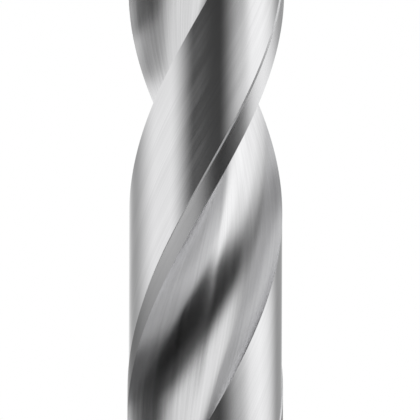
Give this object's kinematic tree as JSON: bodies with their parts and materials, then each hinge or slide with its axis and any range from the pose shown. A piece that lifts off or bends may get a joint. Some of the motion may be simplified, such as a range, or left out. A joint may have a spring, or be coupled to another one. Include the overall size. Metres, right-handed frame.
{
  "type": "twist drill bit",
  "caption": "Twist drill bit with helical flutes and narrow margins, a cone-ground point and a plain parallel shank, for drilling round holes in metal.",
  "frame": {"origin": "centre of the shank's flat end face", "axes": "+Z along the drill's axis from the shank to the point, and +X across one cutting lip's side at the point"},
  "size_m": [0.01, 0.01, 0.133],
  "materials": {
    "ground_steel": "bright ground high-speed steel, with polished flutes and lands and finely ground margins"
  },
  "bodies": {
    "root": {"drill_bit": "ground_steel"}
  },
  "joints": []
}
